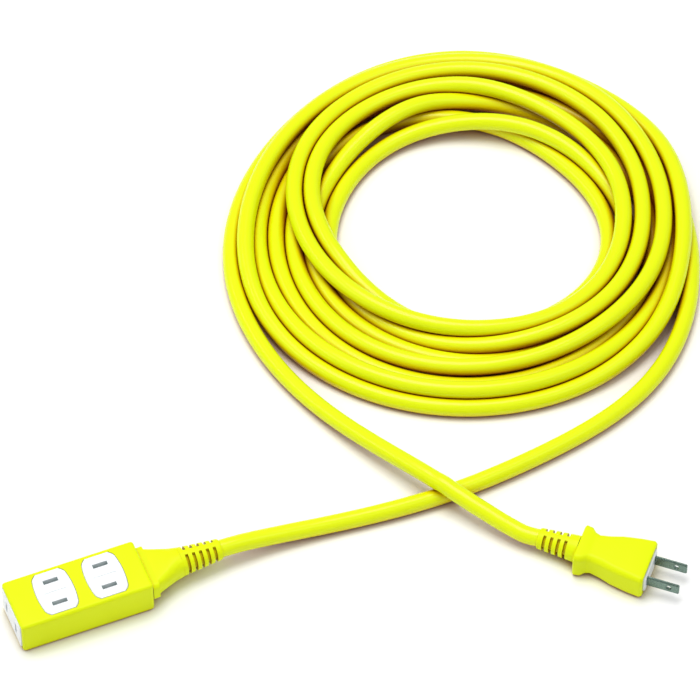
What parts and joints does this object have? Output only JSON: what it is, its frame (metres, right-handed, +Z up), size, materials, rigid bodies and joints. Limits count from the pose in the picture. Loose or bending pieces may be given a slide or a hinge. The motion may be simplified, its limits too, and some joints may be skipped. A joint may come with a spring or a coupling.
{
  "type": "extension cord",
  "caption": "Extension cord: a box-shaped socket tap with slotted outlet faces, a long round cord laid in a loose coil, and a moulded plug with flat blades.",
  "frame": {"origin": "middle of the underside of the socket tap, on the surface that everything lies on", "axes": "+X along the tap, from its end outlet towards its cord; +Z up, out of the outlet faces; +Y across the tap, towards the coil"},
  "size_m": [0.4001, 0.3524, 0.02],
  "materials": {
    "yellow_plastic": "moulded PVC, satin gloss",
    "cord_sheath": "extruded soft PVC, glossy",
    "white_plastic": "moulded urea resin, satin",
    "blade_metal": "nickel plated strip, satin",
    "crimp_metal": "tinned crimp barrel",
    "contact_brass": "spring strip, plain",
    "carrier_plastic": "moulded, matte",
    "core_black": "extruded insulation",
    "core_white": "extruded insulation"
  },
  "bodies": {
    "root": {"tap_housing": "yellow_plastic", "tap_cord_guard": "yellow_plastic", "plug_body": "yellow_plastic", "plug_cord_guard": "yellow_plastic", "cord_coil": "cord_sheath", "cord_plug_lead": "cord_sheath", "cord_tap_lead": "cord_sheath", "outlet_face_1": "white_plastic", "outlet_face_2": "white_plastic", "outlet_face_end": "white_plastic", "blade_holder": "white_plastic", "plug_blade_near": "blade_metal", "plug_blade_far": "blade_metal", "plug_crimp_near": "crimp_metal", "plug_crimp_far": "crimp_metal", "tap_crimp_near": "crimp_metal", "tap_crimp_far": "crimp_metal", "busbar_near": "contact_brass", "busbar_far": "contact_brass", "contact_1_near": "contact_brass", "contact_1_far": "contact_brass", "contact_2_near": "contact_brass", "contact_2_far": "contact_brass", "contact_end_near": "contact_brass", "contact_end_far": "contact_brass", "contact_carrier": "carrier_plastic", "plug_core_near": "core_black", "tap_core_near": "core_black", "plug_core_far": "core_white", "tap_core_far": "core_white"}
  },
  "joints": []
}
